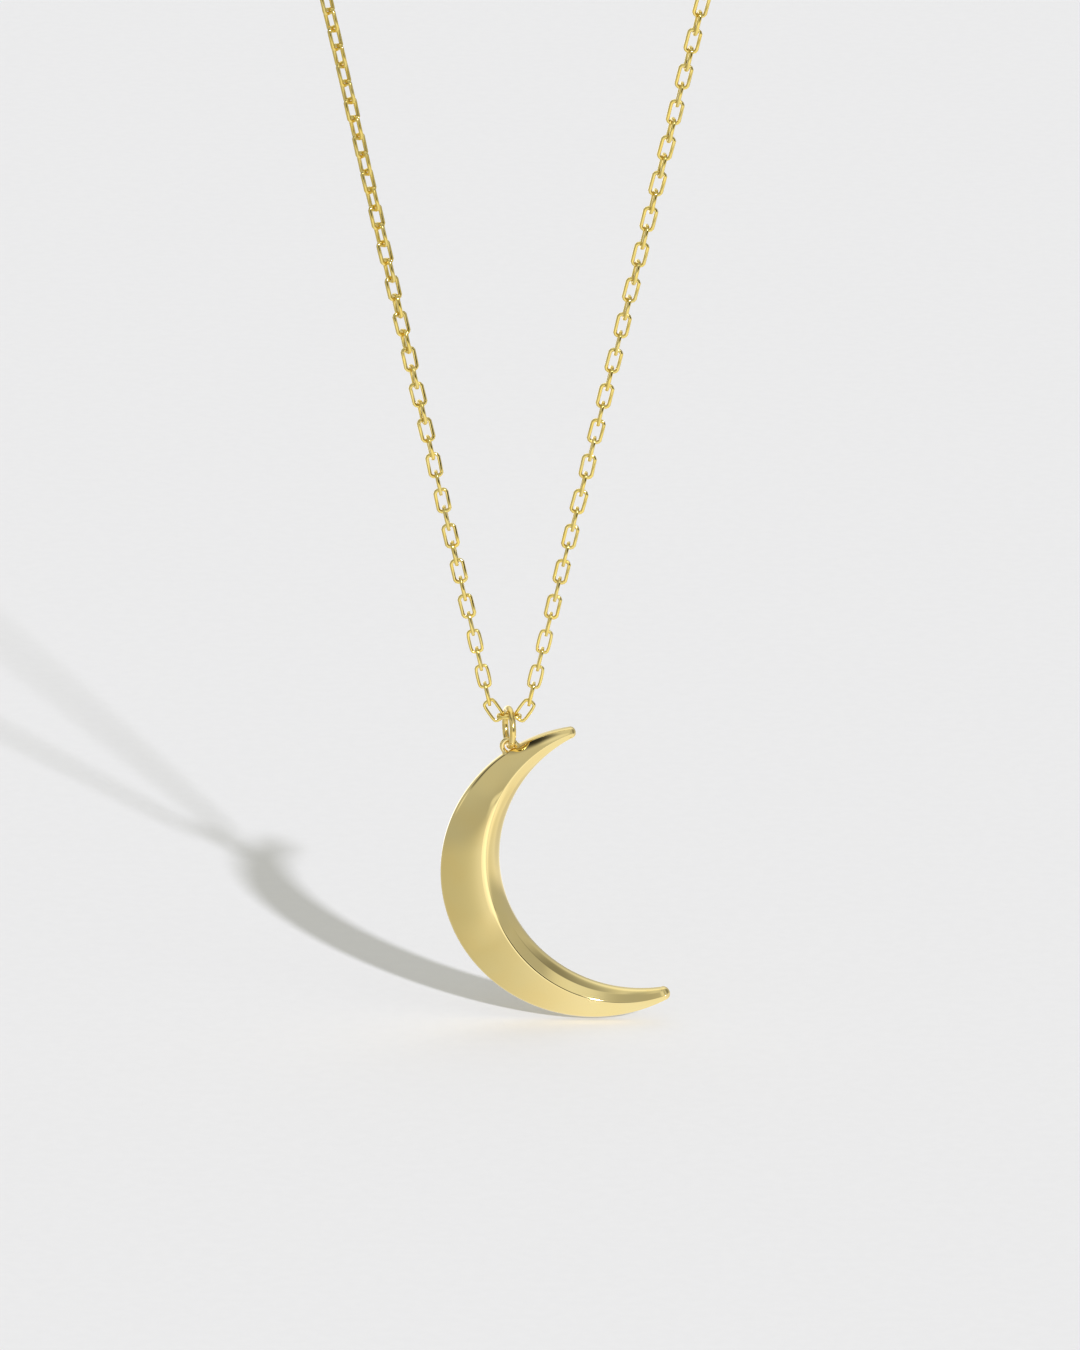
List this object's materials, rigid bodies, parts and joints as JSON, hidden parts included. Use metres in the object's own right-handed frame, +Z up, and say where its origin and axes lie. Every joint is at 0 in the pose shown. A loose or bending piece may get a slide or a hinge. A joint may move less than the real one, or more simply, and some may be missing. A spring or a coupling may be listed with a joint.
{
  "type": "pendant necklace",
  "caption": "Fine gold-plated cable-chain necklace with a puffed crescent moon on a bail ring, a spring ring clasp and an extension chain with a bead.",
  "frame": {"origin": "midway between the two shoulder points of the loop, at the front of the neck that the necklace hangs round", "axes": "+Z up, -Y towards the front, +X towards the viewer's right"},
  "size_m": [0.0644, 0.042, 0.1721],
  "materials": {
    "crescent_gold": "mirror-polished pale gold plating",
    "ring_gold": "polished gold plating",
    "chain_gold": "polished gold plating, worn to a satin on the links' flats",
    "extension_gold": "polished gold plating",
    "clasp_gold": "polished gold plating",
    "bolt_gold": "gold plating rubbed by the slot",
    "clasp_steel": "drawn spring wire"
  },
  "bodies": {
    "neck": {"jump_ring_left": "ring_gold", "jump_ring_right": "ring_gold", "nape_link_left_1": "chain_gold", "nape_link_left_2": "chain_gold", "nape_link_left_3": "chain_gold", "nape_link_right_1": "chain_gold", "nape_link_right_2": "chain_gold", "nape_link_right_3": "chain_gold", "neck_chain_left": "chain_gold", "neck_chain_right": "chain_gold", "clasp_ring": "clasp_gold", "clasp_eyelet": "clasp_gold", "clasp_spring": "clasp_steel", "catch_ring": "extension_gold"},
    "front_drop": {"front_link_left_1": "chain_gold", "front_link_left_2": "chain_gold", "front_link_left_3": "chain_gold", "front_link_left_4": "chain_gold", "front_link_left_5": "chain_gold", "front_link_left_6": "chain_gold", "front_link_right_1": "chain_gold", "front_link_right_2": "chain_gold", "front_link_right_3": "chain_gold", "front_link_right_4": "chain_gold", "front_link_right_5": "chain_gold", "front_link_right_6": "chain_gold", "strand_left": "chain_gold", "strand_right": "chain_gold"},
    "bail": {"centre_link": "chain_gold", "bail_ring": "ring_gold"},
    "crescent": {"crescent": "crescent_gold", "crescent_loop": "crescent_gold"},
    "clasp_bolt": {"clasp_bolt": "bolt_gold"},
    "extension_01": {"extension_link_01": "extension_gold"},
    "extension_02": {"extension_link_02": "extension_gold"},
    "extension_03": {"extension_link_03": "extension_gold"},
    "extension_04": {"extension_link_04": "extension_gold"},
    "extension_05": {"extension_link_05": "extension_gold"},
    "extension_06": {"extension_link_06": "extension_gold"},
    "extension_07": {"extension_link_07": "extension_gold"},
    "extension_08": {"extension_link_08": "extension_gold"},
    "extension_09": {"extension_link_09": "extension_gold"},
    "extension_10": {"extension_link_10": "extension_gold"},
    "extension_11": {"extension_link_11": "extension_gold"},
    "extension_12": {"extension_link_12": "extension_gold"},
    "extension_13": {"extension_link_13": "extension_gold"},
    "extension_14": {"extension_link_14": "extension_gold"},
    "extension_15": {"extension_link_15": "extension_gold"},
    "extension_16": {"extension_link_16": "extension_gold"},
    "headpin": {"headpin": "extension_gold"},
    "bead": {"bead": "extension_gold"}
  },
  "joints": [
    {"name": "front_drop_swing", "type": "hinge", "parent": "neck", "child": "front_drop", "pos_m": [0, 0, -0.00602], "axis": [1, 0, 0], "range_deg": [-45, 20]},
    {"name": "pendant_swing", "type": "hinge", "parent": "front_drop", "child": "bail", "pos_m": [0, 0, -0.13335], "axis": [1, 0, 0], "range_deg": [-40, 40]},
    {"name": "crescent_swing", "type": "hinge", "parent": "bail", "child": "crescent", "pos_m": [0, 0, -0.13578], "axis": [0, 1, 0], "range_deg": [-20, 35]},
    {"name": "clasp_bolt_slide", "type": "hinge", "parent": "neck", "child": "clasp_bolt", "pos_m": [0, 0.03688, 0.00988], "axis": [0, -1, 0], "range_deg": [0, 55], "stiffness_Nm_per_rad": 0.0004, "springref_deg": -20.05, "deforming": ["clasp_spring"]},
    {"name": "extension_hinge_01", "type": "hinge", "parent": "neck", "child": "extension_01", "pos_m": [0.003, 0.03858, 0.00988], "axis": [1, 0, 0], "range_deg": [-10, 50]},
    {"name": "extension_hinge_02", "type": "hinge", "parent": "extension_01", "child": "extension_02", "pos_m": [0.003, 0.03858, 0.00739], "axis": [0, 1, 0], "range_deg": [-40, 40]},
    {"name": "extension_hinge_03", "type": "hinge", "parent": "extension_02", "child": "extension_03", "pos_m": [0.003, 0.03858, 0.00485], "axis": [-1, 0, 0], "range_deg": [-40, 40]},
    {"name": "extension_hinge_04", "type": "hinge", "parent": "extension_03", "child": "extension_04", "pos_m": [0.003, 0.03858, 0.00231], "axis": [0, -1, 0], "range_deg": [-40, 40]},
    {"name": "extension_hinge_05", "type": "hinge", "parent": "extension_04", "child": "extension_05", "pos_m": [0.003, 0.03858, -0.00023], "axis": [1, 0, 0], "range_deg": [-40, 40]},
    {"name": "extension_hinge_06", "type": "hinge", "parent": "extension_05", "child": "extension_06", "pos_m": [0.003, 0.03858, -0.00277], "axis": [0, 1, 0], "range_deg": [-40, 40]},
    {"name": "extension_hinge_07", "type": "hinge", "parent": "extension_06", "child": "extension_07", "pos_m": [0.003, 0.03858, -0.00531], "axis": [-1, 0, 0], "range_deg": [-40, 40]},
    {"name": "extension_hinge_08", "type": "hinge", "parent": "extension_07", "child": "extension_08", "pos_m": [0.003, 0.03858, -0.00785], "axis": [0, -1, 0], "range_deg": [-40, 40]},
    {"name": "extension_hinge_09", "type": "hinge", "parent": "extension_08", "child": "extension_09", "pos_m": [0.003, 0.03858, -0.01039], "axis": [1, 0, 0], "range_deg": [-40, 40]},
    {"name": "extension_hinge_10", "type": "hinge", "parent": "extension_09", "child": "extension_10", "pos_m": [0.003, 0.03858, -0.01293], "axis": [0, 1, 0], "range_deg": [-40, 40]},
    {"name": "extension_hinge_11", "type": "hinge", "parent": "extension_10", "child": "extension_11", "pos_m": [0.003, 0.03858, -0.01547], "axis": [-1, 0, 0], "range_deg": [-40, 40]},
    {"name": "extension_hinge_12", "type": "hinge", "parent": "extension_11", "child": "extension_12", "pos_m": [0.003, 0.03858, -0.01801], "axis": [0, -1, 0], "range_deg": [-40, 40]},
    {"name": "extension_hinge_13", "type": "hinge", "parent": "extension_12", "child": "extension_13", "pos_m": [0.003, 0.03858, -0.02055], "axis": [1, 0, 0], "range_deg": [-40, 40]},
    {"name": "extension_hinge_14", "type": "hinge", "parent": "extension_13", "child": "extension_14", "pos_m": [0.003, 0.03858, -0.02309], "axis": [0, 1, 0], "range_deg": [-40, 40]},
    {"name": "extension_hinge_15", "type": "hinge", "parent": "extension_14", "child": "extension_15", "pos_m": [0.003, 0.03858, -0.02563], "axis": [-1, 0, 0], "range_deg": [-40, 40]},
    {"name": "extension_hinge_16", "type": "hinge", "parent": "extension_15", "child": "extension_16", "pos_m": [0.003, 0.03858, -0.02817], "axis": [0, -1, 0], "range_deg": [-40, 40]},
    {"name": "headpin_hinge", "type": "hinge", "parent": "extension_16", "child": "headpin", "pos_m": [0.003, 0.03858, -0.03071], "axis": [1, 0, 0], "range_deg": [-40, 40]},
    {"name": "bead_spin", "type": "hinge", "parent": "headpin", "child": "bead", "pos_m": [0.003, 0.03858, -0.03374], "axis": [0, 0, 1], "continuous": true}
  ]
}
